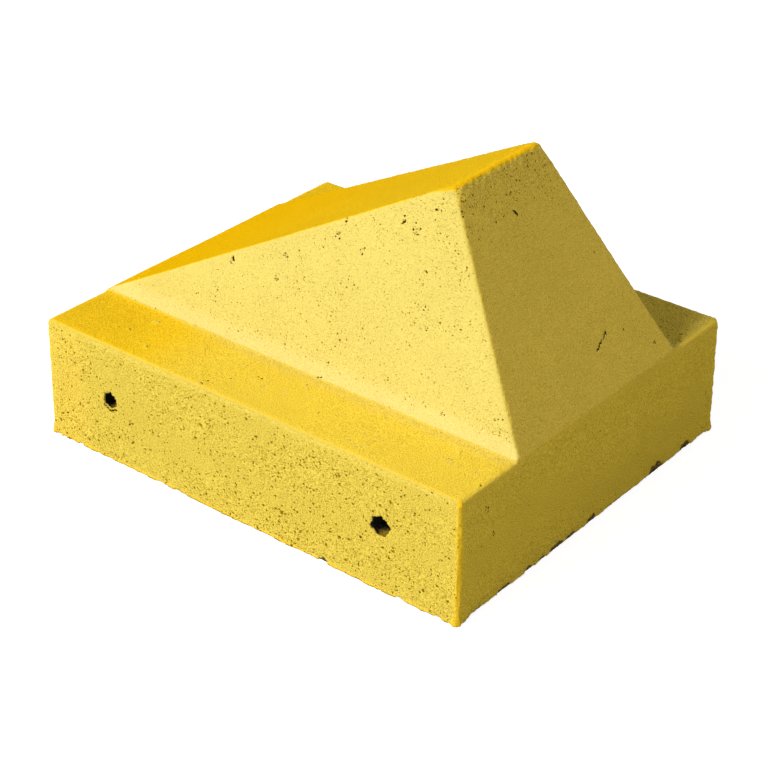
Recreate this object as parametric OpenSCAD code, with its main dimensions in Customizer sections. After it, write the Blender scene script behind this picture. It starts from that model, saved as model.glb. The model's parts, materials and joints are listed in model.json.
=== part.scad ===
// Lane divider block: a slab with a hipped ridge on it, moulded in rubber granulate and sprayed with a coat.
// Blocks stand side by side in a row, and two pins in the end of one block reach into the holes of the next.
// The origin is on the road, under the middle of the slab. +X points to the steep end, +Y along the row.

/* [Slab] */
// Length of the slab at the road, from the gentle end to the steep end
slab_l = 480; // [400:10:600]
// Width of the slab at the road, which is the step from block to block in a row
slab_w = 400; // [330:10:500]
// Height of the slab up to its flat ledges
slab_h = 120; // [100:5:160]
// How far the slab's sides lean in from the road up to the ledges, so that it leaves its mould
slab_lean = 1.7; // [0:0.1:4]
// Radius of the slab's upper edges and upright corners
edge_r = 4.5; // [3:0.5:10]

/* [Ridge] */
// Height of the whole block, up to the ridge top
block_h = 308; // [250:2:400]
// Distance from the steep end to the ridge top
ridge_setback = 122; // [80:2:160]
// Straight length of the ridge top
ridge_top_l = 110; // [60:5:160]
// Width of the ridge where it meets the ledges
ridge_foot_w = 240; // [200:5:300]
// Radius along the ridge top
ridge_r = 8; // [5:0.5:15]
// Radius of the hollow between a ridge side and its ledge
hollow_r = 6; // [3:0.5:12]

/* [Coat] */
// Thickness of the sprayed coat
coat_t = 1.5; // [0.8:0.1:2.5]
// Height of the bare rubber below the coat
bare_h = 2; // [1:0.5:6]
// Width of the bare rubber round the mouth of a pin hole
bare_rim = 1.5; // [0.5:0.25:4]

/* [Joining pins] */
// Diameter of a pin
pin_d = 20; // [12:1:30]
// Length of a pin, half of it in each block
pin_l = 120; // [80:5:150]
// Distance between the two pins
pin_spacing = 316; // [200:4:360]
// Height of the pins over the road
pin_h = 64; // [40:2:80]
// Chamfer at the ends of a pin
pin_chamfer = 2; // [1:0.5:4]
// Width of the ring that marks the middle of a pin
mark_w = 2; // [1:0.5:4]
// Depth of that ring
mark_depth = 0.6; // [0.3:0.1:1]
// Play between a pin and its hole, all round
pin_play = 0.05; // [0.02:0.01:0.1]
// Depth of a hole past the end of its pin
pin_end_gap = 5; // [2:0.5:10]

/* [Hidden] */

// Facets of the pins and holes, of the rounded corners, and of each hollow
$fn = 64;
corner_fn = 32;
hollow_steps = 6;
// Overrun of cuts, and how far a form that runs on inside another stays under its surface
cut = 1;
tuck = 0.2;

half_l = slab_l / 2;
half_w = slab_w / 2;
ledge_half_l = half_l - slab_lean;
ledge_half_w = half_w - slab_lean;
pin_r = pin_d / 2;
hole_r = pin_r + pin_play;
hole_depth = pin_l / 2 + pin_end_gap;

// Centre of the round at each end of the ridge top
ridge_x = half_l - ridge_setback;
ridge_y = ridge_top_l / 2;
ridge_z = block_h - ridge_r;

// Angle of a ridge face that rises from the slab's top and touches the round of the ridge top
function face_angle(run, rise) = atan2(rise, run) + asin(ridge_r / norm([run, rise]));
ridge_rise = ridge_z - slab_h;
gentle_angle = face_angle(ledge_half_l + ridge_x, ridge_rise);
steep_angle = face_angle(ledge_half_l - ridge_x, ridge_rise);
side_angle = face_angle(ridge_foot_w / 2 - ridge_y, ridge_rise);

// Centre of the round at a lower corner of the ridge, just inside the slab's end, against a slope and a side
corner_x = ledge_half_l - edge_r - tuck;
function corner_z(angle) = slab_h + (ledge_half_l - corner_x) * tan(angle) - edge_r / cos(angle);
function corner_y(z) = ridge_foot_w / 2 - (z - slab_h) / tan(side_angle) - edge_r / sin(side_angle);
gentle_z = corner_z(gentle_angle);
steep_z = corner_z(steep_angle);

// Points on the round of a hollow, from the ledge at step 0 to the ridge side at the last step
hollow_y = ridge_foot_w / 2 + hollow_r * tan(side_angle / 2);
hollow_z = slab_h + hollow_r;
function hollow_point(step, r) =
    let (angle = 270 - side_angle * step / hollow_steps)
    [hollow_y + r * cos(angle), hollow_z + r * sin(angle)];

// Ball with points on its poles and its equator, so that the flat faces beside it are true
module ball(r) {
    rotate_extrude($fn = corner_fn)
        intersection() {
            circle(r, $fn = corner_fn);
            translate([0, -r])
                square([r, 2 * r]);
        }
}

// The slab, this far inside the outer surface
module slab_form(inset) {
    r = edge_r - inset;
    hull()
        for (x = [-1, 1], y = [-1, 1]) {
            translate([x * (half_l - edge_r), y * (half_w - edge_r), 0])
                cylinder(r1 = r, r2 = 0, h = r, $fn = corner_fn);
            translate([x * (ledge_half_l - edge_r), y * (ledge_half_w - edge_r), slab_h - edge_r])
                ball(r);
        }
}

// Post under a lower corner of the ridge, with a round top whose ball is centred at height z
module corner_post(r, z) {
    cylinder(r = r, h = z, $fn = corner_fn);
    translate([0, 0, z])
        ball(r);
}

// The ridge with the part of the slab below it, this far inside the outer surface
module ridge_form(inset) {
    hull()
        for (y = [-1, 1]) {
            translate([-corner_x, y * corner_y(gentle_z), 0])
                corner_post(edge_r - inset, gentle_z);
            translate([corner_x, y * corner_y(steep_z), 0])
                corner_post(edge_r - inset, steep_z);
            translate([ridge_x, y * ridge_y, ridge_z])
                ball(ridge_r - inset);
        }
}

// Outline of the block seen along the row, this far inside the outer surface
module end_outline(inset) {
    hull() {
        translate([-corner_x, gentle_z])
            circle(edge_r - inset, $fn = corner_fn);
        translate([corner_x, steep_z])
            circle(edge_r - inset, $fn = corner_fn);
        translate([ridge_x, ridge_z])
            circle(ridge_r - inset, $fn = corner_fn);
    }
}

// Section of the hollow at +Y. Its first and last steps run on into the slab and the ridge.
module hollow_section(inset) {
    points = [for (step = [0 : hollow_steps]) hollow_point(step, hollow_r + inset)];
    polygon([
        2 * points[0] - points[1],
        for (step = [1 : hollow_steps - 1]) points[step],
        2 * points[hollow_steps] - points[hollow_steps - 1],
        [ridge_foot_w / 2 - hollow_r, slab_h - hollow_r]
    ]);
}

// Both hollows, which run out under the slopes at their ends
module hollows(inset) {
    intersection() {
        for (side = [0, 1])
            mirror([0, side, 0])
                rotate([90, 0, 90])
                    linear_extrude(slab_l, center = true)
                        hollow_section(inset);
        translate([0, half_w, 0])
            rotate([90, 0, 0])
                linear_extrude(slab_w)
                    end_outline(inset + tuck);
    }
}

// Everything inside a surface that lies this far below the outer one
module block_form(inset) {
    slab_form(inset);
    ridge_form(inset);
    hollows(inset);
}

// Blind holes for the pins in both row faces
module pin_holes(r) {
    for (turn = [0, 180], x = [-1, 1])
        rotate([0, 0, turn])
            translate([x * pin_spacing / 2, half_w + cut, pin_h])
                rotate([90, 0, 0])
                    cylinder(r = r, h = hole_depth + cut);
}

// Moulding of bound rubber granulate, solid apart from the pin holes
module rubber_block() {
    color("#1f1d1b")
        difference() {
            block_form(coat_t);
            pin_holes(hole_r);
        }
}

// Sprayed coat over the top and the sides, bare round the holes and along the road
module yellow_coat() {
    color("#f2c41d")
        difference() {
            block_form(0);
            block_form(coat_t);
            pin_holes(hole_r + bare_rim);
            translate([-slab_l, -slab_w, -cut])
                cube([2 * slab_l, 2 * slab_w, cut + bare_h]);
        }
}

// Round bar with chamfered ends and a ring at its middle, half of it standing out of the row face at +Y
module joining_pin(x) {
    color("#3a3d40")
        translate([x, half_w - pin_l / 2, pin_h])
            rotate([-90, 0, 0])
                rotate_extrude()
                    polygon([
                        [0, 0],
                        [pin_r - pin_chamfer, 0],
                        [pin_r, pin_chamfer],
                        [pin_r, (pin_l - mark_w) / 2],
                        [pin_r - mark_depth, pin_l / 2],
                        [pin_r, (pin_l + mark_w) / 2],
                        [pin_r, pin_l - pin_chamfer],
                        [pin_r - pin_chamfer, pin_l],
                        [0, pin_l]
                    ]);
}

module gentle_end_pin() {
    joining_pin(-pin_spacing / 2);
}

module steep_end_pin() {
    joining_pin(pin_spacing / 2);
}

rubber_block();
yellow_coat();
gentle_end_pin();
steep_end_pin();
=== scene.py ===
import json
import math

import bmesh
import bpy
import numpy as np
from mathutils import Matrix, Vector, kdtree
from mathutils.bvhtree import BVHTree


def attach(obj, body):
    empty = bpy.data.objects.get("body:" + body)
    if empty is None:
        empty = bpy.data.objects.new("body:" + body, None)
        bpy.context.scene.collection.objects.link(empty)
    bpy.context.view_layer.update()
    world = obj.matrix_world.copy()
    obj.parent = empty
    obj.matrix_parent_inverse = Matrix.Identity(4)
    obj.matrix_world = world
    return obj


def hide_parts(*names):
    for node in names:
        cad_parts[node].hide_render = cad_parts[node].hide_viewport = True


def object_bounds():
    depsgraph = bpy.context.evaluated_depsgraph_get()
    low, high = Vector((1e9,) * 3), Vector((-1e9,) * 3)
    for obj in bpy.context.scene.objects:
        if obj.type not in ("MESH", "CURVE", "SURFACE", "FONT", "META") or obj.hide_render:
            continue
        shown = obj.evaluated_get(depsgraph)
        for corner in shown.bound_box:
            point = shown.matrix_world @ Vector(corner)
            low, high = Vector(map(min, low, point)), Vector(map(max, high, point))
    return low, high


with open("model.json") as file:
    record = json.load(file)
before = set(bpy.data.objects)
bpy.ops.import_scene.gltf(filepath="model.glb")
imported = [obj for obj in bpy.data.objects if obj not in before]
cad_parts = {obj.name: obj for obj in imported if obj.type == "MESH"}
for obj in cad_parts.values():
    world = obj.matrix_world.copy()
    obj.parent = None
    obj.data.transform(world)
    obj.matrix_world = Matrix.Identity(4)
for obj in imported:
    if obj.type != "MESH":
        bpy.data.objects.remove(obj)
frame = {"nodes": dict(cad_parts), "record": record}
cad_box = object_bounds()


# Rubber block: crumbs of old tyres, bound with a little polyurethane and pressed in a mould. It is solid
# but for the blind pin holes. It shows underneath, in the holes, and at the road where the coat is chipped.
socket = next(mount for mount in frame["record"]["mounts"] if mount["name"] == "steep_end_socket")
hole_x, _, hole_z = socket["pos_m"]
hole_r = socket["dims"]["r_mm"] / 1000
hole_zone_y = 0.13
hole_room = 0.0005
half_l = cad_box[1][0]
half_w = round(-cad_box[0][1], 3)
block_quad, block_triangles = 0.002, 150_000
crumb, crumb_relief, underside_relief = 0.0042, 0.0005, 0.0007
bare_band = 0.009
worn_corner, worn_depth = (0.121, -0.061, 0.306), 0.0018
worn_core, worn_reach = 0.002, 0.014
bite_inset, bite_grain = 0.02, 0.003
spray_full, spray_end = 0.004, 0.022

# Bites where crumbs have come off the lower edge: place along the edge, half length, height, depth
steep_end_bites = [
    (-0.1740, 0.014, 0.0012, 0.0004),
    (-0.1360, 0.012, 0.0034, 0.0008),
    (-0.0995, 0.006, 0.0030, 0.0008),
    (-0.0795, 0.006, 0.0024, 0.0006),
    (-0.0580, 0.011, 0.0050, 0.0016),
    (-0.0370, 0.009, 0.0032, 0.0008),
    (-0.0040, 0.008, 0.0046, 0.0014),
    (0.0420, 0.026, 0.0008, 0.0004),
    (0.1010, 0.012, 0.0062, 0.0024),
    (0.1515, 0.009, 0.0058, 0.0018),
    (0.1800, 0.012, 0.0012, 0.0004),
]
front_bites = [
    (-0.2010, 0.004, 0.0016, 0.0006),
    (0.0962, 0.005, 0.0042, 0.0012),
    (0.1793, 0.004, 0.0024, 0.0008),
    (0.2204, 0.005, 0.0018, 0.0008),
]
gentle_end_bites = [
    (-0.1250, 0.008, 0.0050, 0.0020),
    (-0.0410, 0.006, 0.0030, 0.0012),
    (0.0330, 0.010, 0.0062, 0.0026),
    (0.1480, 0.005, 0.0034, 0.0012),
]
back_bites = [
    (-0.1870, 0.006, 0.0040, 0.0016),
    (-0.0520, 0.009, 0.0056, 0.0022),
    (0.0710, 0.005, 0.0030, 0.0010),
    (0.1980, 0.007, 0.0044, 0.0018),
]


def even_skin(nodes, quad):
    """Points, quads and normals of an even skin over CAD nodes, each point on a CAD surface."""
    joined = bmesh.new()
    for node in nodes:
        joined.from_mesh(frame["nodes"][node].data)
    form = bpy.data.meshes.new("form")
    joined.to_mesh(form)
    piece = bpy.data.objects.new("form", form)
    bpy.context.scene.collection.objects.link(piece)
    remesh = piece.modifiers.new("even quads", "REMESH")
    remesh.mode = "VOXEL"
    remesh.voxel_size = quad
    skin = bpy.data.meshes.new_from_object(piece.evaluated_get(bpy.context.evaluated_depsgraph_get()))
    surface = BVHTree.FromBMesh(joined)
    points = np.array([surface.find_nearest(v.co)[0] for v in skin.vertices])
    skin.vertices.foreach_set("co", points.ravel())
    skin.update()
    normals = np.array([n.vector for n in skin.vertex_normals])
    quads = np.array([p.vertices for p in skin.polygons])
    bpy.data.objects.remove(piece)
    bpy.data.meshes.remove(form)
    bpy.data.meshes.remove(skin)
    joined.free()
    return points, quads, normals


# Lattices for noise, set askew so that no edge of the block runs along them
askew = np.array(Matrix.Rotation(0.6, 3, (0.5, 0.7, 0.3)))
period = 64
heights = np.random.default_rng(4).uniform(-1, 1, (period, period, period))
middles = np.random.default_rng(5).uniform(0.1, 0.9, (period, period, period, 3))


def bumps(points, size, shift=0.0):
    """Smooth noise, about -1 to 1, whose bumps are this size. Each shift gives another pattern."""
    scaled = points @ askew / size + shift
    cell = np.floor(scaled).astype(int)
    share = scaled - cell
    share = share * share * (3 - 2 * share)
    total = np.zeros(len(points))
    for corner in np.ndindex(2, 2, 2):
        weight = np.where(corner, share, 1 - share).prod(1)
        total += weight * heights[tuple(((cell + corner) % period).T)]
    return total


def crumbs(points, size):
    """Rounded crumbs of this size, 1 on their tops and 0 in the gaps between them."""
    scaled = points / size
    cell = np.floor(scaled).astype(int)
    near = np.full((len(points), 2), 9.0)
    for step in np.ndindex(3, 3, 3):
        corner = cell + step - 1
        far = np.linalg.norm(scaled - corner - middles[tuple((corner % period).T)], axis=1)
        near = np.sort(np.c_[near, far], 1)[:, :2]
    return np.clip(1.6 * (near[:, 1] - near[:, 0]), 0, 1) ** 0.5


def fade(values, start, end):
    """Smooth step from 0 at start to 1 at end."""
    share = np.clip((values - start) / (end - start), 0, 1)
    return share * share * (3 - 2 * share)


def bites(points):
    """Height and depth of the bites in the lower edge above and below each point."""
    x, y = points[:, 0], points[:, 1]
    ragged = 0.35 * bumps(points * (1, 1, 0), bite_grain, shift=7.1)
    height, depth = np.zeros(len(points)), np.zeros(len(points))
    sides = (
        (steep_end_bites, y, half_l - x),
        (gentle_end_bites, y, half_l + x),
        (front_bites, x, half_w + y),
        (back_bites, x, half_w - y),
    )
    for side, along, inside in sides:
        for place, half_length, high, deep in side:
            share = 1 - fade(np.abs(along - place) / half_length + ragged, 0.45, 1.15)
            share[inside > bite_inset] = 0
            share *= 1 + ragged
            height = np.maximum(height, share * high)
            depth = np.maximum(depth, share * deep)
    return height, depth


def hole_distance(points):
    """Distance from the axis of the nearest pin hole."""
    return np.hypot(np.abs(points[:, 0]) - hole_x, points[:, 2] - hole_z)


def below_right(points):
    """How far a point lies to the lower right of its hole's axis, seen from outside, in hole radii."""
    right = -np.sign(points[:, 1]) * (points[:, 0] - np.sign(points[:, 0]) * hole_x)
    return (right - points[:, 2] + hole_z) / hole_r


def wear(points):
    """How far the ridge's front corner has been knocked back, which stands higher than anything else."""
    return worn_depth * (1 - fade(np.linalg.norm(points - worn_corner, axis=1), worn_core, worn_reach))


def new_piece(name, points, faces, attributes):
    """A smooth-shaded object from arrays, with a number stored on each point under each attribute's name."""
    mesh = bpy.data.meshes.new(name)
    mesh.from_pydata(points.tolist(), [], faces.tolist())
    for attribute, values in attributes.items():
        mesh.attributes.new(attribute, "FLOAT", "POINT").data.foreach_set("value", values.astype(np.float32))
    mesh.polygons.foreach_set("use_smooth", np.ones(len(faces), bool))
    piece = bpy.data.objects.new(name, mesh)
    bpy.context.scene.collection.objects.link(piece)
    return piece


def thin_out(piece, triangles):
    """Joins the triangles of flat stretches until this many are left."""
    piece.data.calc_loop_triangles()
    thinner = piece.modifiers.new("fewer triangles", "DECIMATE")
    thinner.ratio = min(1, triangles / len(piece.data.loop_triangles))
    piece.modifiers.new("normals of the larger faces", "WEIGHTED_NORMAL")
    thinned = bpy.data.meshes.new_from_object(piece.evaluated_get(bpy.context.evaluated_depsgraph_get()))
    piece.modifiers.clear()
    piece.data = thinned


points, quads, normals = even_skin(["rubber_block"], block_quad)
in_hole = (hole_distance(points) < hole_r + block_quad) & (np.abs(points[:, 1]) > hole_zone_y)
under = points[:, 2] < block_quad / 2
height, depth = bites(points)
near_road = 1 - fade(points[:, 2], bare_band, 2 * bare_band)
relief = crumbs(points, crumb) - 1 + 0.4 * bumps(points, crumb / 2)
shown = np.maximum(near_road, np.where(in_hole, 0.5, 0))
offset = crumb_relief * relief * shown
offset = np.where(in_hole, np.minimum(offset, 0) - hole_room, offset)
offset = np.where(under, underside_relief * np.minimum(relief, 0), offset)
bitten = depth * (1 - fade(points[:, 2], 0.6 * height, 1.1 * height + 1e-5))
moved = points + normals * (offset - wear(points))[:, None]
outward = normals * (1, 1, 0)
moved -= np.where(under, 0, bitten)[:, None] * outward
moved[:, 2] = np.maximum(moved[:, 2], 0)

# Overspray: a mist on the band at the road, and in the mouth of each hole where the spray came in, kept to
# the lower right of the mouth, where it is also painted light on the lit part of the wall
mouth = np.where(in_hole, 1 - fade(half_w - np.abs(points[:, 1]), spray_full, spray_end), 0)
mouth *= fade(below_right(points), -0.1, 0.9)
mist = 0.5 * near_road * ~under
rubber_block = new_piece("rubber_moulding", moved, quads, {"overspray_and_lit_patch": np.maximum(mouth, mist)})
thin_out(rubber_block, block_triangles)


def colour(code):
    """Linear colour of an sRGB hex value."""
    parts = [int(code[i:i + 2], 16) / 255 for i in (1, 3, 5)]
    return [p / 12.92 if p < 0.04045 else ((p + 0.055) / 1.055) ** 2.4 for p in parts] + [1]


def add(tree, kind, inputs={}, **settings):
    """Adds a node with its settings. Each input is a value or another node's output."""
    node = tree.nodes.new(kind)
    for name, value in settings.items():
        setattr(node, name, value)
    for name, value in inputs.items():
        if isinstance(value, bpy.types.NodeSocket):
            tree.links.new(value, node.inputs[name])
        else:
            node.inputs[name].default_value = value
    return node


def new_material(name):
    """An empty material, its node tree and its shader."""
    material = bpy.data.materials.new(name)
    material.use_nodes = True
    tree = material.node_tree
    return material, tree, tree.nodes["Principled BSDF"]


# Bound rubber granulate, as pressed: matt black crumbs, a few greyer, with dark gaps between them
granule, granule_relief, speckle_size = 0.0032, 0.0006, 0.0025
granulate, tree, shader = new_material("bound_rubber_granulate")
place = add(tree, "ShaderNodeTexCoord").outputs["Object"]
grains = add(tree, "ShaderNodeTexVoronoi", {"Vector": place, "Scale": 1 / granule})
gaps = add(tree, "ShaderNodeTexVoronoi", {"Vector": place, "Scale": 1 / granule}, feature="DISTANCE_TO_EDGE")
grey = add(tree, "ShaderNodeSeparateColor", {"Color": grains.outputs["Color"]}).outputs["Red"]
tone = add(tree, "ShaderNodeValToRGB", {"Fac": grey})
tone.color_ramp.elements[0].color = colour("#141312")
tone.color_ramp.elements[1].color = colour("#34322f")
open_gap = add(tree, "ShaderNodeMapRange", {"Value": gaps.outputs["Distance"], "From Max": 0.12})
dark = add(tree, "ShaderNodeMix", {
    "Factor": open_gap.outputs["Result"], "A": colour("#070706"), "B": tone.outputs["Color"],
}, data_type="RGBA")
spray = add(tree, "ShaderNodeAttribute", attribute_name="overspray_and_lit_patch")
speckle = add(tree, "ShaderNodeTexNoise", {"Vector": place, "Scale": 1 / speckle_size, "Detail": 3})
patchy = add(tree, "ShaderNodeMath", {
    0: spray.outputs["Fac"], 1: speckle.outputs["Fac"],
}, operation="MULTIPLY")
covered = add(tree, "ShaderNodeMapRange", {
    "Value": patchy.outputs["Value"], "From Min": 0.12, "From Max": 0.4,
})
# Overspray colour, which in the lower right of each hole's mouth is also painted light on the wall
base = add(tree, "ShaderNodeMix", {
    "Factor": covered.outputs["Result"], "A": dark.outputs[2], "B": colour("#a5841a"),
}, data_type="RGBA")
relief_map = add(tree, "ShaderNodeBump", {
    "Height": open_gap.outputs["Result"], "Distance": granule_relief, "Strength": 0.8,
})
tree.links.new(base.outputs[2], shader.inputs["Base Color"])
tree.links.new(relief_map.outputs["Normal"], shader.inputs["Normal"])
shader.inputs["Roughness"].default_value = 0.88
shader.inputs["IOR"].default_value = 1.52
shader.inputs["Specular IOR Level"].default_value = 0.2

rubber_block.data.materials.append(granulate)
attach(rubber_block, "block")
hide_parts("rubber_block")


# Coat: yellow polyurethane, sprayed on the moulding's top and sides to a skin of about a millimetre and a
# half. It bridges the crumbs, leaves pores over the gaps between them, and ends in a ragged edge at the road.
coat_quad, coat_triangles = 0.0014, 190_000
coat_thickness = 0.0015
ledge_z, ridge_half_w = 0.12, 0.12
crest_from, crest_full = 0.298, 0.303
slab_lean = 0.0017
cad_bare_band, end_bare_band = 0.002, 0.0016
lower_edge_lumps, coarse_lump, middle_lump, fine_lump = 0.0007, 0.019, 0.0061, 0.0026
drawn_down, drawn_from = 0.0018, 0.016
gentle_mouth, steep_mouth, pin_mouth = 0.0080, 0.0099, 0.0106
bare_ring_r, rim_r = 0.01155, 0.011
rim_lumps, rim_lump, rim_flake = 0.0012, 0.005, 0.0019
mouth_zone, mouth_depth, road_zone = 0.02, 0.08, 0.02
flattened_share, smallest_r = 0.75, 0.0005
hip_r, crest_r, hip_zone = 0.0020, 0.0045, 0.012
sharp_turn = 0.00008
tolerance, road_gap = 0.0001, 0.00005
lip, lip_height, lip_lump = 0.0009, 0.005, 0.006
corner_from, corner_full = 0.008, 0.004
corner_lip, corner_grain = 0.002, 0.0005
wave, wave_size = 0.0005, 0.075
edge_grain, edge_grain_size = 0.00042, 0.0034
ledge_edge_grain, ledge_edge_size = 0.0006, 0.0035
patch_size, cluster_size, grain_size = 0.05, 0.012, 0.0028


def lower_edge(points):
    """Height of the coat's lower edge over the road."""
    flat = points * (1, 1, 0)
    lumps = bumps(flat, coarse_lump, 3.3) + 0.7 * bumps(flat, middle_lump, 9.7)
    lumps += 0.8 * bumps(flat, fine_lump, 1.4)
    at_end = fade(np.abs(points[:, 0]), half_l - 0.004, half_l - 0.002)
    at_end *= 1 - fade(np.abs(points[:, 1]), half_w - 0.02, half_w - 0.008)
    bare = cad_bare_band + end_bare_band * at_end
    return bare + lower_edge_lumps * np.clip(0.4 + lumps, 0.05, 2) + bites(points)[0]


def kept(points):
    """Distance inside the coat's own edges, below zero where the rubber is bare."""
    from_axis = hole_distance(points)
    angle = np.arctan2(points[:, 2] - hole_z, points[:, 0] - np.sign(points[:, 0]) * hole_x)
    around = np.c_[rim_r * np.cos(angle), points[:, 1] * 0, rim_r * np.sin(angle)]
    around += np.sign(points) * (1, 1, 0)
    lumps = bumps(around, rim_lump, 5.2) + 1.3 * bumps(around, rim_flake, 1.9)
    front_mouth = np.where(points[:, 0] < 0, gentle_mouth, steep_mouth) + rim_lumps * lumps
    rear_mouth = pin_mouth + 0.5 * rim_lumps * (1 + np.clip(lumps, -1, 1))
    from_rim = from_axis - np.where(points[:, 1] < 0, front_mouth, rear_mouth)
    from_rim[(from_axis > mouth_zone) | (np.abs(points[:, 1]) < hole_zone_y)] = 1
    return np.minimum(points[:, 2] - lower_edge(points), from_rim)


points, quads, normals = even_skin(["rubber_block", "yellow_coat"], coat_quad)

# The step and the wall at the mouth of each hole laid flat, so that the coat runs on over them in flakes
from_axis = hole_distance(points)
inset = half_w - slab_lean * points[:, 2] / ledge_z - np.abs(points[:, 1])
at_mouth = (from_axis < bare_ring_r + tolerance) & (inset < mouth_depth)
path = np.maximum(inset + bare_ring_r - from_axis, 0)[at_mouth]
new_r = np.maximum(bare_ring_r - flattened_share * path, smallest_r)
axis_x = np.sign(points[at_mouth, 0]) * hole_x
points[at_mouth, 0] = axis_x + (points[at_mouth, 0] - axis_x) * new_r / from_axis[at_mouth]
points[at_mouth, 2] = hole_z + (points[at_mouth, 2] - hole_z) * new_r / from_axis[at_mouth]
points[at_mouth, 1] += np.sign(points[at_mouth, 1]) * inset[at_mouth]
normals[at_mouth] = np.sign(points[at_mouth, 1])[:, None] * (0, 1, 0)

# Planes of the ridge's four faces: steep, gentle, front and rear
on_ridge = points[:, 2] > ledge_z + 0.02
face_normals, face_offsets = [], []
for axis, sign, least in ((0, 1, 0.6), (0, -1, 0.4), (1, -1, 0.8), (1, 1, 0.8)):
    face = on_ridge & (np.abs(normals[:, 1 - axis]) < 0.01) & (sign * normals[:, axis] > least)
    face_normals.append(np.median(normals[face], 0))
    face_offsets.append(np.median(points[face] @ face_normals[-1]))
face_normals, face_offsets = np.array(face_normals), np.array(face_offsets)

# Hips of the ridge, where the coat builds up to a tighter round than the moulding's
out = points @ face_normals.T - face_offsets
near_hip = (out.max(1) < tolerance) & (np.sort(out, 1)[:, -2] > -hip_zone) & (points[:, 2] > ledge_z + 0.001)
here = points[near_hip]
radius = hip_r + (crest_r - hip_r) * fade(out[near_hip, :2].min(1), -0.02, -0.008)
for _ in range(4):
    over = np.maximum(here @ face_normals.T - face_offsets + radius[:, None], 0)
    reach = np.maximum(np.linalg.norm(over, axis=1), 1e-6)
    facing = ((over / reach[:, None]) @ face_normals * normals[near_hip]).sum(1)
    here = here + ((radius - reach) / np.maximum(facing, 0.5))[:, None] * normals[near_hip]
points[near_hip] = here
facing = over @ face_normals
normals[near_hip] = facing / np.linalg.norm(facing, axis=1)[:, None]
points -= normals * wear(points)[:, None]

# Quads outside the coat's own edges taken away
at_hole = (hole_distance(points) < mouth_zone) & (np.abs(points[:, 1]) > hole_zone_y)
edges_may_pass = at_hole | (points[:, 2] < road_zone)
room = np.ones(len(points))
room[edges_may_pass] = kept(points[edges_may_pass])
quads = quads[room[quads].mean(1) > 0]
used, quads = np.unique(quads, return_inverse=True)
quads = quads.reshape(-1, 4)
points, normals = points[used], normals[used]

# Open edges, each in the direction of its quad, and their points drawn onto the coat's edge line
sides = np.concatenate([quads[:, [i, (i + 1) % 4]] for i in range(4)])
key = np.sort(sides, 1) @ (len(points), 1)
_, first, count = np.unique(key, return_index=True, return_counts=True)
open_sides = sides[first[count == 1]]
rim_points = np.unique(open_sides)
step = 0.0002
for _ in range(3):
    here = points[rim_points]
    rises = [kept(here + step * axis) - kept(here - step * axis) for axis in np.eye(3)]
    slope = np.stack(rises, 1) / (2 * step)
    slope -= (slope * normals[rim_points]).sum(1)[:, None] * normals[rim_points]
    shift = kept(here) / np.maximum((slope * slope).sum(1), 0.3)
    shift = np.clip(shift, -coat_quad, coat_quad)
    points[rim_points] = here - shift[:, None] * slope


def spread(values, rounds):
    """Evens values out between neighbouring points."""
    for _ in range(rounds):
        mean = values[quads].mean(1)
        total = np.bincount(quads.ravel(), np.repeat(mean, 4), len(values))
        values = total / np.maximum(np.bincount(quads.ravel(), minlength=len(values)), 1)
    return values


middle = np.stack([spread(points[:, i], 1) for i in range(3)], 1)
turn = ((points - middle) * normals).sum(1)
turn[rim_points] = 0
convex = np.clip(spread(np.maximum(turn, 0), 2) / sharp_turn, 0, 1)

# Both faces of the coat, drawn down a little at the road
x, y, z = points.T
nx, ny, nz = normals.T
inner = points - coat_thickness * normals
outer = points.copy()
pull = drawn_down * (1 - fade(z, cad_bare_band, drawn_from))
inner[:, 2] -= pull
outer[:, 2] -= pull

# Relief of the outer face: slow waves, grain on the edges, and lips at the road and at the corners' feet
offset = wave * bumps(points, wave_size)
upright = convex * fade(np.abs(x), half_l - corner_from, half_l - corner_full)
upright *= fade(np.abs(y), half_w - corner_from, half_w - corner_full)
ragged = bumps(points, edge_grain_size, 2.2) + 0.7 * bumps(points, edge_grain_size / 2, 7.9)
bulge = (1 - fade(z, cad_bare_band, lip_height)) * (z < lip_height)
bulge *= 0.5 + bumps(points * (1, 1, 0), lip_lump, 2.7)
bulge *= 0.3 + 0.7 * fade(np.abs(ny), 0.6, 0.75)
on_crest = fade(z, crest_from, crest_full)
foot_lip = corner_lip * upright * (1 - fade(z, 0.003, 0.014))
upright *= 0.3 + 0.7 * fade(x, -0.1, 0.1)
offset += (
    foot_lip
    + np.maximum(0.7 * convex, 1.3 * on_crest) * edge_grain * ragged
    + upright * corner_grain * (ragged - 0.3)
    + lip * bulge
)

# Zones of the coat by facing and place, each 1 inside and 0 outside
above_slab, on_slab = z > ledge_z - 0.002, z < ledge_z + 0.01
row_face = fade(np.abs(ny), 0.6, 0.75) * fade(np.abs(y), half_w - 0.006, half_w - 0.003)
slab_end = fade(np.abs(nx), 0.9, 0.96)
ledge = fade(nz, 0.95, 0.98) * on_slab
rear_ledge = ledge * fade(y, ridge_half_w, ridge_half_w + 0.01) * fade(x, -0.1, 0.1)
ridge_side = fade(np.abs(ny), 0.45, 0.6) * (np.abs(y) < ridge_half_w + 0.01)
gentle_slope = fade(-nx, 0.3, 0.42) * fade(nz, 0.6, 0.8) * above_slab
steep_slope = fade(nx, 0.6, 0.7) * (1 - fade(nx, 0.92, 0.96)) * above_slab
crest = on_crest * fade(nz, 0.6, 0.7) * (1 - gentle_slope)

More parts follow.
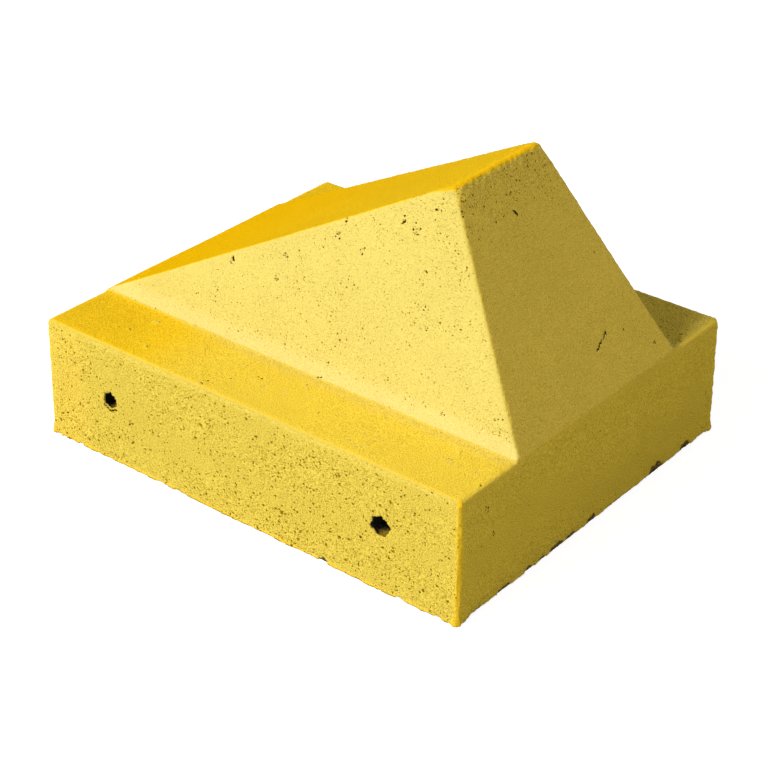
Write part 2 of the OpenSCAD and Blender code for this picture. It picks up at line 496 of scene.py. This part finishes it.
# Edges, feet and ends that look unlike the zone around them
row_foot = row_face * (1 - fade(z, 0.002, 0.006))
row_gentle_end = row_face * fade(-x, 0.17, 0.205)
ledge_gentle_end = ledge * fade(-x, 0.05, 0.2)
ridge_foot = ledge * (1 - fade(np.abs(y), ridge_half_w + 0.001, ridge_half_w + 0.016))
ridge_foot += ridge_side * (1 - fade(z, ledge_z + 0.006, ledge_z + 0.02))
painted_highlight_edge = fade(convex, 0.5, 1) * (1 - upright) * fade(-ny, 0.2, 0.4) * (z > ledge_z - 0.02) * on_slab
crumbly = fade(bumps(points, ledge_edge_size, 3.9), 0.1, 0.5)
steep_edge = convex * (x > half_l - 0.012) * (z > ledge_z - 0.01) * crumbly * fade(y, -0.03, 0.03)
offset += ledge_edge_grain * steep_edge

# How open the sprayed surface is, how rough its grain is, and how pale its yellow is, mostly as painted light
patches = 0.5 + 0.5 * bumps(points, patch_size, 6.1)
clusters = bumps(points, cluster_size, 3.7)
low = 1 - fade(z, 0.02, 0.13)
on_row = 0.31 + 0.04 * fade(x, -0.15, 0) + 0.12 * low * patches + 0.08 * clusters
on_side = 0.15 + 0.12 * patches + 0.08 * fade(z, 0.2, 0.3) + 0.1 * clusters
openness = (
    0.12
    + on_row * row_face
    + 0.2 * slab_end
    + on_side * ridge_side * fade(z, ledge_z, ledge_z + 0.015)
    + 0.05 * ledge
    + (0.5 - 0.3 * fade(y, 0.135, 0.175)) * rear_ledge
    + (0.04 + 0.32 * fade(z, 0.23, 0.3)) * steep_slope
)
openness *= 1 - 0.3 * convex
roughness = (
    0.8
    + 0.65 * row_face
    + 1.0 * slab_end
    + 0.25 * ledge
    + 0.4 * rear_ledge
    - 0.1 * ridge_side
    + 0.25 * gentle_slope
    + 0.5 * steep_slope
)
roughness *= 1 - 0.4 * convex
# Paleness: the ridge sides and row faces paler as painted sheen, the rear ledge paler as painted room light,
# the row faces' convex top edges paler as painted highlight, and the gentle slope deeper as painted shade.
# The steep end's top edge has paler flakes, partly wear and partly painted highlight.
painted_light_paleness = (
    0.55
    + 0.15 * row_face
    - 0.3 * row_foot
    - 0.06 * row_gentle_end
    + 0.02 * slab_end
    - 0.3 * ledge_gentle_end
    + 0.12 * rear_ledge
    + 0.35 * ridge_side
    + 0.12 * ridge_foot
    - (0.55 - 0.1 * fade(x, -0.2, 0.08)) * gentle_slope
    + 0.07 * steep_slope
    - 0.5 * crest
    + 0.12 * painted_highlight_edge
    + 0.15 * steep_edge
    - 0.2 * upright
)
painted_light_paleness = np.clip(painted_light_paleness, 0, 1)

# Marks that stand out, each a cluster of pores: its place, the size of a pore and how many
marks = [
    ((-0.094, -0.099, 0.188), 0.0012, 8), ((-0.037, -0.092, 0.208), 0.0013, 4),
    ((-0.042, -0.099, 0.187), 0.0009, 4), ((0.014, -0.082, 0.241), 0.0011, 5),
    ((0.022, -0.078, 0.254), 0.0009, 3), ((0.044, -0.084, 0.236), 0.0010, 5),
    ((0.080, -0.073, 0.270), 0.0013, 5), ((0.093, -0.074, 0.267), 0.0013, 7),
    ((0.109, -0.067, 0.288), 0.0009, 3), ((0.026, -0.120, 0.121), 0.0009, 3),
    ((-0.014, -0.154, 0.120), 0.0010, 4), ((-0.049, -0.187, 0.120), 0.0010, 4),
    ((0.133, -0.063, 0.291), 0.0009, 3), ((0.143, -0.030, 0.275), 0.0009, 2),
    ((0.216, 0.066, 0.156), 0.0012, 1), ((0.229, 0.099, 0.135), 0.0011, 1),
    ((0.178, 0.069, 0.219), 0.0009, 1), ((0.239, -0.162, 0.096), 0.0008, 8),
    ((0.239, -0.152, 0.066), 0.0011, 3),
]
scattered_marks, fine_pore = 110, 0.0006
mark_margin, mark_depth = 0.0012, 0.0003

# Scratches through the coat, as lines of pores from place to place. The first ends in a wider pit.
scratches = [
    [(0.2172, 0.0230, 0.1543), (0.2150, 0.0310, 0.1578), (0.2130, 0.0420, 0.1620)],
    [(0.1432, -0.0044, 0.2742), (0.1456, -0.0018, 0.2702)],
    [(-0.1670, -0.1993, 0.0570), (-0.1590, -0.1993, 0.0530), (-0.1505, -0.1993, 0.0560)],
    [(0.0815, -0.0625, 0.2900), (0.0860, -0.0620, 0.2925)],
    [(0.0890, -0.0620, 0.2945), (0.0935, -0.0610, 0.2965)],
]
scratch_pores, scratch_width, scratch_depth = 7, 0.0006, 0.0005
end_pit_width, end_pit_depth = 0.0014, 0.0010

# Loose crumbs caught in the spray on the ledges: place, size and height
loose_crumbs = [
    ((-0.156, -0.138, 0.12), 0.0030, 0.0011), ((-0.166, -0.165, 0.12), 0.0022, 0.0008),
    ((-0.131, -0.177, 0.12), 0.0020, 0.0008), ((-0.142, -0.174, 0.12), 0.0018, 0.0006),
    ((-0.177, -0.167, 0.12), 0.0016, 0.0006), ((-0.091, -0.142, 0.12), 0.0016, 0.0005),
    ((-0.125, -0.121, 0.12), 0.0022, 0.0010), ((-0.175, -0.121, 0.12), 0.0020, 0.0008),
    ((-0.049, -0.193, 0.12), 0.0018, 0.0008), ((0.026, -0.120, 0.12), 0.0016, 0.0006),
]
scattered_crumbs, drift_size = 420, 0.045
crumb_least, crumb_more = 0.0010, 0.0008
height_least, height_more = 0.0002, 0.0004

# Pores of the scratches and marks sunk into the coat, and crumbs raised on it with a painted highlight on
# each top and a dark pore beside each as its painted shadow
near_points = kdtree.KDTree(len(points))
for index, point in enumerate(points):
    near_points.insert(point, index)
near_points.balance()
draw = np.random.default_rng(11)
pores = []
for line in scratches:
    for start, end in zip(line[:-1], line[1:]):
        for share in np.linspace(0, 1, scratch_pores):
            on_line = Vector(start).lerp(Vector(end), share)
            pores.append((near_points.find(on_line)[0], scratch_width, scratch_depth))
pores.append((near_points.find(scratches[0][-1])[0], end_pit_width, end_pit_depth))
chance = np.clip(openness, 0, None) ** 2
for index in draw.choice(len(points), scattered_marks, p=chance / chance.sum()):
    size = fine_pore + fine_pore * draw.random() ** 2
    marks.append((points[index], size, int(draw.integers(1, 4))))
grain = 0.5 + 0.5 * bumps(points, grain_size, 4.4)
for place, size, spots in marks:
    centre = near_points.find(place)[0]
    reach = mark_margin + size * (0.8 + 0.35 * spots)
    for _ in range((spots + 1) // 2):
        beside = centre + Vector(draw.normal(size=3)) * 0.45 * reach
        pores.append((near_points.find(beside)[0], 0.7 * size, 0.6 * size))
    for _, index, distance in near_points.find_range(centre, reach):
        share = 1 - (distance / reach) ** 2
        openness[index] = max(openness[index], 0.25 + 0.5 * share)
        offset[index] -= mark_depth * share * grain[index]
pore = np.zeros(len(points))
for centre, size, deep in pores:
    reach = 1.6 * size + coat_quad / 2
    for _, index, distance in near_points.find_range(centre, reach):
        share = 1 - distance / reach
        pore[index] = max(pore[index], share)
        offset[index] = min(offset[index], -deep * min(1, 1.6 * share))
on_ledge = np.flatnonzero((ledge > 0.5) & (np.abs(y) > ridge_half_w + 0.005))
weight = 0.15 + fade(bumps(points[on_ledge], drift_size, 8.3), 0.1, 0.6)
weight += 1.5 * (y[on_ledge] > 0)
for index in draw.choice(on_ledge, scattered_crumbs, p=weight / weight.sum()):
    size = crumb_least + crumb_more * draw.random()
    high = height_least + height_more * draw.random() ** 2
    loose_crumbs.append((points[index], size, high))
for place, size, high in loose_crumbs:
    reach = 1.5 * size
    for _, index, distance in near_points.find_range(near_points.find(place)[0], reach):
        share = min(1, 1.6 - 1.6 * distance / reach)
        offset[index] += high * share * (0.5 + grain[index])
        # Painted highlight: the crumb's top paler
        painted_light_paleness[index] += 320 * high * share
        openness[index] *= 1 - share
    # Painted shadow: a dark pore beside the crumb
    pitted = near_points.find(Vector(place) + Vector((0.9, 0.7, 0)) * size)[1]
    pore[pitted] = max(pore[pitted], min(0.8, 1000 * high))
outer += normals * offset[:, None]

# The coat as a closed shell: its outer face, its inner face turned round, and the rim between them
count = len(points)
back = quads[:, ::-1] + count
rim = np.c_[open_sides[:, ::-1], open_sides + count]
shell = np.concatenate([quads, back, rim])
both = np.concatenate([outer, inner])
both[:, 2] = np.maximum(both[:, 2], road_gap)
coat = new_piece("sprayed_coat", both, shell, {
    "pore": np.concatenate([pore, np.zeros(count)]),
    "openness": np.concatenate([openness, np.zeros(count)]),
    "roughness": np.concatenate([roughness, roughness]),
    "painted_light_paleness": np.clip(np.concatenate([painted_light_paleness, painted_light_paleness]), 0, 1),
})
thin_out(coat, coat_triangles)

# Sprayed polyurethane: matt yellow over the grain of the crumbs, with pits and dark pores. Painted shade sits
# in the low grain, pits and cracks, painted highlight on the grain's tops and painted sheen on the paler
# faces. The grain lies flat, longer along the block than it is high, as the crumbs do in the mould.
grit_size, grit_relief, cloud_size = (0.0014, 0.0011, 0.0009), 0.0014, 0.05
pit_cell, bend_size, bend_reach = (0.0036, 0.0030, 0.0027), 0.0016, 0.0022
crack_cell, crack_patch = 0.0034, 0.009
sprayed, tree, shader = new_material("sprayed_polyurethane")
place = add(tree, "ShaderNodeTexCoord").outputs["Object"]
opened = add(tree, "ShaderNodeAttribute", attribute_name="openness").outputs["Fac"]
hollow = add(tree, "ShaderNodeAttribute", attribute_name="pore").outputs["Fac"]
pale = add(tree, "ShaderNodeAttribute", attribute_name="painted_light_paleness").outputs["Fac"]
rough = add(tree, "ShaderNodeAttribute", attribute_name="roughness").outputs["Fac"]
grit = add(tree, "ShaderNodeMapping", {"Vector": place, "Scale": [1 / size for size in grit_size]})
grain = add(tree, "ShaderNodeTexNoise", {
    "Vector": grit.outputs["Vector"], "Scale": 1, "Detail": 1, "Roughness": 0.6,
}).outputs["Fac"]
cloud = add(tree, "ShaderNodeTexNoise", {
    "Vector": place, "Scale": 1 / cloud_size, "Detail": 4, "Roughness": 0.6,
})

# Yellow by zone, deepest on the gentle slope as painted shade and palest on the ridge sides as painted sheen
# Painted light on the grain: its tops lighter and bluer as painted highlight, its low places darker as
# painted shade
shade_in_grain, highlight_on_grain = (0.62, 0.58, 0.32, 1), (1.34, 1.36, 1.6, 1)
by_zone = add(tree, "ShaderNodeValToRGB", {"Fac": pale})
by_zone.color_ramp.elements[0].color = colour("#f3bf0a")
by_zone.color_ramp.elements[1].color = colour("#ecd982")
by_zone.color_ramp.elements.new(0.1).color = colour("#e9be1c")
by_zone.color_ramp.elements.new(0.4).color = colour("#f3cb24")
by_zone.color_ramp.elements.new(0.55).color = colour("#f1d242")
by_zone.color_ramp.elements.new(0.62).color = colour("#eccf54")
by_zone.color_ramp.elements.new(0.7).color = colour("#e0c952")
by_zone.color_ramp.elements.new(0.9).color = colour("#e4d371")
swing = add(tree, "ShaderNodeMapRange", {
    "Value": grain, "From Min": 0.1, "From Max": 0.9, "To Min": -0.4, "To Max": 0.4,
})
swung = add(tree, "ShaderNodeMath", {0: swing.outputs["Result"], 1: rough, 2: 0.42}, operation="MULTIPLY_ADD")
tops = add(tree, "ShaderNodeMath", {
    0: cloud.outputs["Fac"], 1: 0.16, 2: swung.outputs["Value"],
}, operation="MULTIPLY_ADD")
grain_light_and_shade = add(tree, "ShaderNodeMix", {
    "Factor": tops.outputs["Value"], "A": shade_in_grain, "B": highlight_on_grain,
}, data_type="RGBA")
yellow = add(tree, "ShaderNodeMix", {
    "Factor": 1.0, "A": by_zone.outputs["Color"], "B": grain_light_and_shade.outputs[2],
}, data_type="RGBA", blend_type="MULTIPLY")

# Flecks: the low places of the grain, which the spray has filled but not levelled, darkened as painted shade
depth_limit = add(tree, "ShaderNodeMath", {0: opened, 1: 0.31, 2: 0.205}, operation="MULTIPLY_ADD")
below = add(tree, "ShaderNodeMath", {0: depth_limit.outputs["Value"], 1: grain}, operation="SUBTRACT")
painted_low_shade = add(tree, "ShaderNodeMapRange", {
    "Value": below.outputs["Value"], "From Min": -0.04, "From Max": 0.04, "To Max": 0.95,
})
low_shaded = add(tree, "ShaderNodeMix", {
    "Factor": painted_low_shade.outputs["Result"], "A": yellow.outputs[2], "B": colour("#a68800"),
}, data_type="RGBA")

# Pits: one spot in each cell, in a share of the cells that grows with the openness, bent out of round
bend = add(tree, "ShaderNodeTexNoise", {"Vector": place, "Scale": 1 / bend_size, "Detail": 2})
bent = add(tree, "ShaderNodeVectorMath", {
    0: bend.outputs["Color"], 1: (bend_reach, bend_reach, bend_reach),
}, operation="MULTIPLY")
crooked = add(tree, "ShaderNodeVectorMath", {
    0: place, 1: bent.outputs["Vector"],
}, operation="ADD").outputs["Vector"]
laid = add(tree, "ShaderNodeMapping", {"Vector": crooked, "Scale": [1 / size for size in pit_cell]})
spots = add(tree, "ShaderNodeTexVoronoi", {"Vector": laid.outputs["Vector"], "Scale": 1})
luck = add(tree, "ShaderNodeSeparateColor", {"Color": spots.outputs["Color"]})
wide = add(tree, "ShaderNodeMath", {0: opened, 1: luck.outputs["Red"]}, operation="SUBTRACT")
radius = add(tree, "ShaderNodeMath", {0: wide.outputs["Value"], 1: 0.8, 2: -0.02}, operation="MULTIPLY_ADD")
inside = add(tree, "ShaderNodeMath", {
    0: radius.outputs["Value"], 1: spots.outputs["Distance"],
}, operation="SUBTRACT")
pinhole = add(tree, "ShaderNodeMapRange", {
    "Value": inside.outputs["Value"], "From Min": -0.05, "From Max": 0.03, "To Max": 0.95,
})

# Cracks: gaps between crumbs that the spray has not bridged, in patches, widest in the middle of a patch
joints = add(tree, "ShaderNodeTexVoronoi", {
    "Vector": crooked, "Scale": 1 / crack_cell,
}, feature="DISTANCE_TO_EDGE")
patch = add(tree, "ShaderNodeTexNoise", {"Vector": place, "Scale": 1 / crack_patch, "Detail": 2})
limit = add(tree, "ShaderNodeMath", {0: opened, 1: 0.24, 2: -0.86}, operation="MULTIPLY_ADD")
over = add(tree, "ShaderNodeMath", {0: patch.outputs["Fac"], 1: limit.outputs["Value"]}, operation="ADD")
gape = add(tree, "ShaderNodeMath", {0: over.outputs["Value"], 1: 1.5}, operation="MULTIPLY")
torn = add(tree, "ShaderNodeMath", {
    0: gape.outputs["Value"], 1: joints.outputs["Distance"],
}, operation="SUBTRACT")
crack = add(tree, "ShaderNodeMapRange", {
    "Value": torn.outputs["Value"], "From Min": -0.02, "From Max": 0.05,
})
pitted = add(tree, "ShaderNodeMath", {
    0: pinhole.outputs["Result"], 1: crack.outputs["Result"],
}, operation="MAXIMUM")
# Painted shade: the pits and cracks darkened to the shade that falls in them
shaded = add(tree, "ShaderNodeMix", {
    "Factor": pitted.outputs["Value"], "A": low_shaded.outputs[2], "B": colour("#906800"),
}, data_type="RGBA")

# Pores down to the rubber, frayed by the grain. Pits, cracks and pores are sunk, and the grain stands up.
frayed = add(tree, "ShaderNodeMath", {0: grain, 1: 1.4, 2: -0.7}, operation="MULTIPLY_ADD")
edge = add(tree, "ShaderNodeMath", {0: hollow, 1: frayed.outputs["Value"]}, operation="SUBTRACT")
deep_pore = add(tree, "ShaderNodeMapRange", {
    "Value": edge.outputs["Value"], "From Min": 0.4, "From Max": 0.6,
})
painted = add(tree, "ShaderNodeMix", {
    "Factor": deep_pore.outputs["Result"], "A": shaded.outputs[2], "B": colour("#3a2300"),
}, data_type="RGBA")
holes = add(tree, "ShaderNodeMath", {
    0: pitted.outputs["Value"], 1: deep_pore.outputs["Result"],
}, operation="MAXIMUM")
sunk = add(tree, "ShaderNodeMath", {0: holes.outputs["Value"], 1: -0.5, 2: grain}, operation="MULTIPLY_ADD")
raised = add(tree, "ShaderNodeMath", {0: sunk.outputs["Value"], 1: rough}, operation="MULTIPLY")
relief_map = add(tree, "ShaderNodeBump", {
    "Height": raised.outputs["Value"], "Distance": grit_relief, "Strength": 1.0,
})
tree.links.new(painted.outputs[2], shader.inputs["Base Color"])
tree.links.new(relief_map.outputs["Normal"], shader.inputs["Normal"])
shader.inputs["Diffuse Roughness"].default_value = 1.0
shader.inputs["Roughness"].default_value = 0.46
shader.inputs["IOR"].default_value = 1.48
shader.inputs["Specular IOR Level"].default_value = 0.0

coat.data.materials.append(sprayed)
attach(coat, "block")
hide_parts("yellow_coat")


# Joining pins: two bars of dark grey polyethylene, cut from extruded rod, with turned chamfers and a scored
# ring at the middle. Each is pushed halfway into its hole and reaches into the next block of the row.
line_width, line_length, line_relief = 0.0006, 0.02, 0.0002
scuff_size = 0.004

# Extruded polyethylene: waxy dark grey with fine draw lines along the rod, and duller where it is scuffed
rod, tree, shader = new_material("extruded_polyethylene")
place = add(tree, "ShaderNodeTexCoord").outputs["Object"]
along = add(tree, "ShaderNodeMapping", {
    "Vector": place, "Scale": (1 / line_width, 1 / line_length, 1 / line_width),
})
lines = add(tree, "ShaderNodeTexNoise", {"Vector": along.outputs["Vector"], "Scale": 1, "Detail": 3})
rod_tone = add(tree, "ShaderNodeMix", {
    "Factor": lines.outputs["Fac"], "A": colour("#33373a"), "B": colour("#474c50"),
}, data_type="RGBA")
scuffs = add(tree, "ShaderNodeTexNoise", {"Vector": place, "Scale": 1 / scuff_size, "Detail": 4})
dull = add(tree, "ShaderNodeMapRange", {"Value": scuffs.outputs["Fac"], "To Min": 0.38, "To Max": 0.6})
draw_lines = add(tree, "ShaderNodeBump", {
    "Height": lines.outputs["Fac"], "Distance": line_relief, "Strength": 0.4,
})
tree.links.new(rod_tone.outputs[2], shader.inputs["Base Color"])
tree.links.new(dull.outputs["Result"], shader.inputs["Roughness"])
tree.links.new(draw_lines.outputs["Normal"], shader.inputs["Normal"])
shader.inputs["IOR"].default_value = 1.51
for node in ("gentle_end_pin", "steep_end_pin"):
    pin = frame["nodes"][node]
    pin.data.materials.clear()
    pin.data.materials.append(rod)


# Floor: a plain white sheet that runs out past the view, with the block's soft shadow on it. It is lifted
# to white where the camera sees it, and throws only a little light back on the block.
floor_half, floor_lift = 60.0, 0.85
floor_mesh = bpy.data.meshes.new("floor")
corners = [(-1, -1, 0), (1, -1, 0), (1, 1, 0), (-1, 1, 0)]
floor_mesh.from_pydata([Vector(c) * floor_half for c in corners], [], [(0, 1, 2, 3)])
floor = bpy.data.objects.new("floor", floor_mesh)
bpy.context.scene.collection.objects.link(floor)
paper, tree, shader = new_material("white_paper")


def seen_by_camera(tree):
    """1 for what the camera sees, straight or by way of a mirror or glass, and 0 for light on the block."""
    path = add(tree, "ShaderNodeLightPath")
    mirrored = add(tree, "ShaderNodeMath", {
        0: path.outputs["Is Glossy Ray"], 1: path.outputs["Is Transmission Ray"],
    }, operation="MAXIMUM")
    seen = add(tree, "ShaderNodeMath", {
        0: path.outputs["Is Camera Ray"], 1: mirrored.outputs["Value"],
    }, operation="MAXIMUM")
    return seen.outputs["Value"]


lift = add(tree, "ShaderNodeMath", {0: seen_by_camera(tree), 1: floor_lift}, operation="MULTIPLY")
tree.links.new(lift.outputs["Value"], shader.inputs["Emission Strength"])
shader.inputs["Emission Color"].default_value = colour("#ffffff")
shader.inputs["Base Color"].default_value = colour("#b4b4b4")
shader.inputs["Roughness"].default_value = 0.9
shader.inputs["Specular IOR Level"].default_value = 0.1
floor_mesh.materials.append(paper)


# Light: a large soft box in front and above, a low one in front, and weak ones on the right and behind, all
# aimed at the block, in a dim pale room.
lamp_aim = Vector((0, 0, 0.1))
room_light = 0.13


def soft_box(name, direction, distance, size, power):
    """A square area lamp that points at the block from this direction."""
    lamp = bpy.data.lights.new(name, "AREA")
    lamp.size = size
    lamp.energy = power
    place = Vector(direction).normalized() * distance + lamp_aim
    box = bpy.data.objects.new(name, lamp)
    box.location = place
    box.rotation_euler = (place - lamp_aim).to_track_quat("Z", "Y").to_euler()
    bpy.context.scene.collection.objects.link(box)


soft_box("key", (-0.31, -0.79, 0.58), distance=5.0, size=1.8, power=268)
soft_box("low_front", (0.12, -0.95, 0.1), distance=3.2, size=1.3, power=25)
soft_box("right_fill", (1, -0.1, 0.6), distance=2.2, size=0.8, power=10.4)
soft_box("back_fill", (0.1, 0.9, 0.12), distance=2.2, size=0.8, power=9)
world = bpy.data.worlds.new("pale_room")
bpy.context.scene.world = world
world.use_nodes = True
tree = world.node_tree
bright = add(tree, "ShaderNodeMapRange", {
    "Value": seen_by_camera(tree), "To Min": room_light, "To Max": 1.0,
})
tree.links.new(bright.outputs["Result"], tree.nodes["Background"].inputs["Strength"])
tree.nodes["Background"].inputs["Color"].default_value = colour("#ffffff")
bpy.context.scene.view_settings.view_transform = "Standard"


# Camera: a long lens in front of the block, to its right and above it. The angles and the distance were
# fitted to the block's straight edges.
azimuth, elevation, roll = math.radians(38.89), math.radians(30.51), math.radians(0.33)
focal_pixels, image_pixels, sensor = 1968.47, 768, 36.0
distance, aim_right, aim_up = 1.8694, 0.0008, 0.0432
behind = Vector((
    math.sin(azimuth) * math.cos(elevation), -math.cos(azimuth) * math.cos(elevation), math.sin(elevation),
))
level = Vector((math.cos(azimuth), math.sin(azimuth), 0))
plumb = behind.cross(level)
right = math.cos(roll) * level + math.sin(roll) * plumb
up = math.cos(roll) * plumb - math.sin(roll) * level
lens = bpy.data.cameras.new("camera")
lens.sensor_width = sensor
lens.lens = focal_pixels * sensor / image_pixels
camera = bpy.data.objects.new("camera", lens)
turned = Matrix((right, up, behind)).transposed().to_4x4()
camera.matrix_world = Matrix.Translation(right * aim_right + up * aim_up + behind * distance) @ turned
bpy.context.scene.collection.objects.link(camera)
bpy.context.scene.camera = camera
